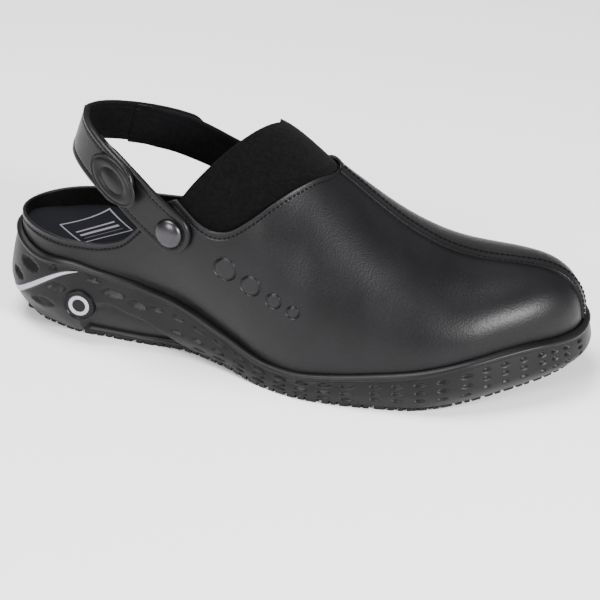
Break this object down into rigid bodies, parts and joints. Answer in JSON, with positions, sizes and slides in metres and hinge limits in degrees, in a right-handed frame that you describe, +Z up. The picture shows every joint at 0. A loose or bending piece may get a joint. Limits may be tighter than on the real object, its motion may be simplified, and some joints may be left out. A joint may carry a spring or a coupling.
{
  "type": "chef clog",
  "caption": "Closed-toe black leather kitchen clog with an elastic instep panel, riveted heel strap and moulded slip-resistant sole.",
  "frame": {"origin": "on the floor under the middle of the bounding box", "axes": "+X to the toe, +Y to the inner (medial) side, +Z up"},
  "size_m": [0.286, 0.109, 0.1136],
  "materials": {
    "sole_rubber": "satin",
    "upper_leather": "satin",
    "insole_fabric": "matte",
    "panel_elastic": "matte",
    "rivet_metal": "gloss",
    "inlay_plastic": "satin"
  },
  "bodies": {
    "root": {"outsole": "sole_rubber", "upper": "upper_leather", "insole": "insole_fabric", "elastic_panel": "panel_elastic", "vamp_strip": "upper_leather", "heel_strap": "upper_leather", "strap_tab_lateral": "upper_leather", "strap_tab_medial": "upper_leather", "rivet_lateral": "rivet_metal", "rivet_medial": "rivet_metal", "heel_inlay": "inlay_plastic", "side_badge": "sole_rubber"}
  },
  "joints": []
}
